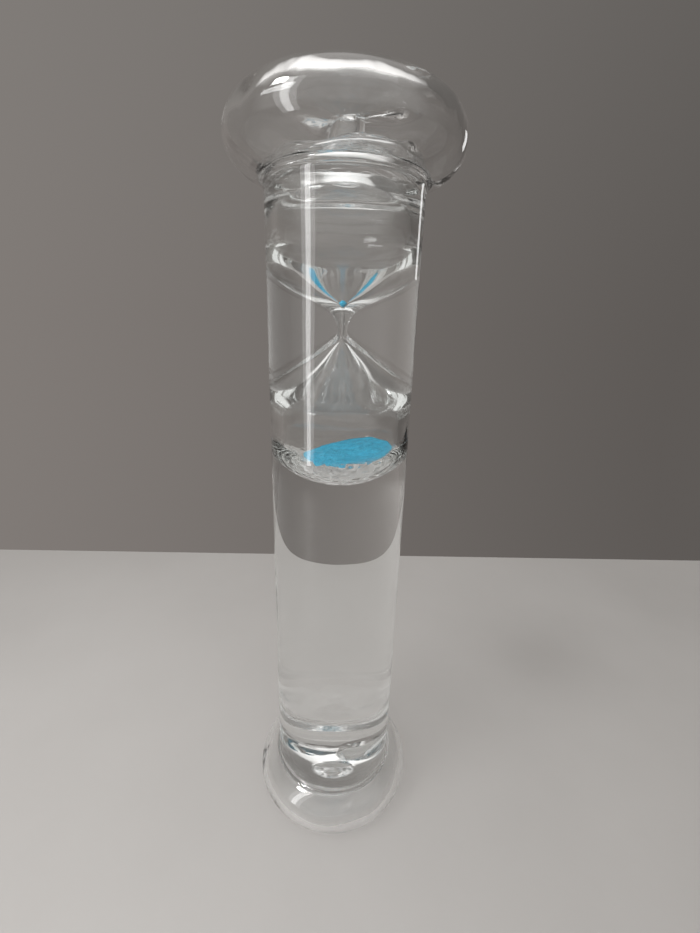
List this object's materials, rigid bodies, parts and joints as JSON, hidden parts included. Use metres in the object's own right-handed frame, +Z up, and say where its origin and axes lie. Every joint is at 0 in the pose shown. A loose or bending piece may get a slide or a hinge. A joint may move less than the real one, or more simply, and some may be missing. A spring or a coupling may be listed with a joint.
{
  "type": "floating hourglass",
  "caption": "Sealed glass cylinder of clear liquid with a hollow ring blown round each end; a free hourglass with blue sand floats inside it.",
  "frame": {"origin": "centre of the foot's resting ring, on the surface that the timer stands on", "axes": "+Z up along the cylinder, -Y towards the viewer, +X to the viewer's right"},
  "size_m": [0.0668, 0.0668, 0.248],
  "materials": {
    "chamber_glass": "polished",
    "hourglass_glass": "polished",
    "liquid": "gloss",
    "blue_sand": "matte"
  },
  "bodies": {
    "chamber": {"chamber_tube": "chamber_glass", "lower_end_wall": "chamber_glass", "upper_end_wall": "chamber_glass", "foot_bulb": "chamber_glass", "foot_well": "chamber_glass", "head_bulb": "chamber_glass", "head_well": "chamber_glass", "fill_spout": "chamber_glass", "spout_seal": "chamber_glass", "liquid": "liquid"},
    "hourglass": {"hourglass_upper_bulb": "hourglass_glass", "hourglass_throat": "hourglass_glass", "hourglass_lower_bulb": "hourglass_glass", "sand_heap": "blue_sand", "sand_remainder": "blue_sand"}
  },
  "joints": [
    {"name": "float_slide", "type": "slide", "parent": "chamber", "child": "hourglass", "axis": [0, 0, 1], "range_m": [-0.126, 0], "stiffness_N_per_m": 0.14, "springref_m": 4.97, "deforming": ["liquid"]}
  ]
}
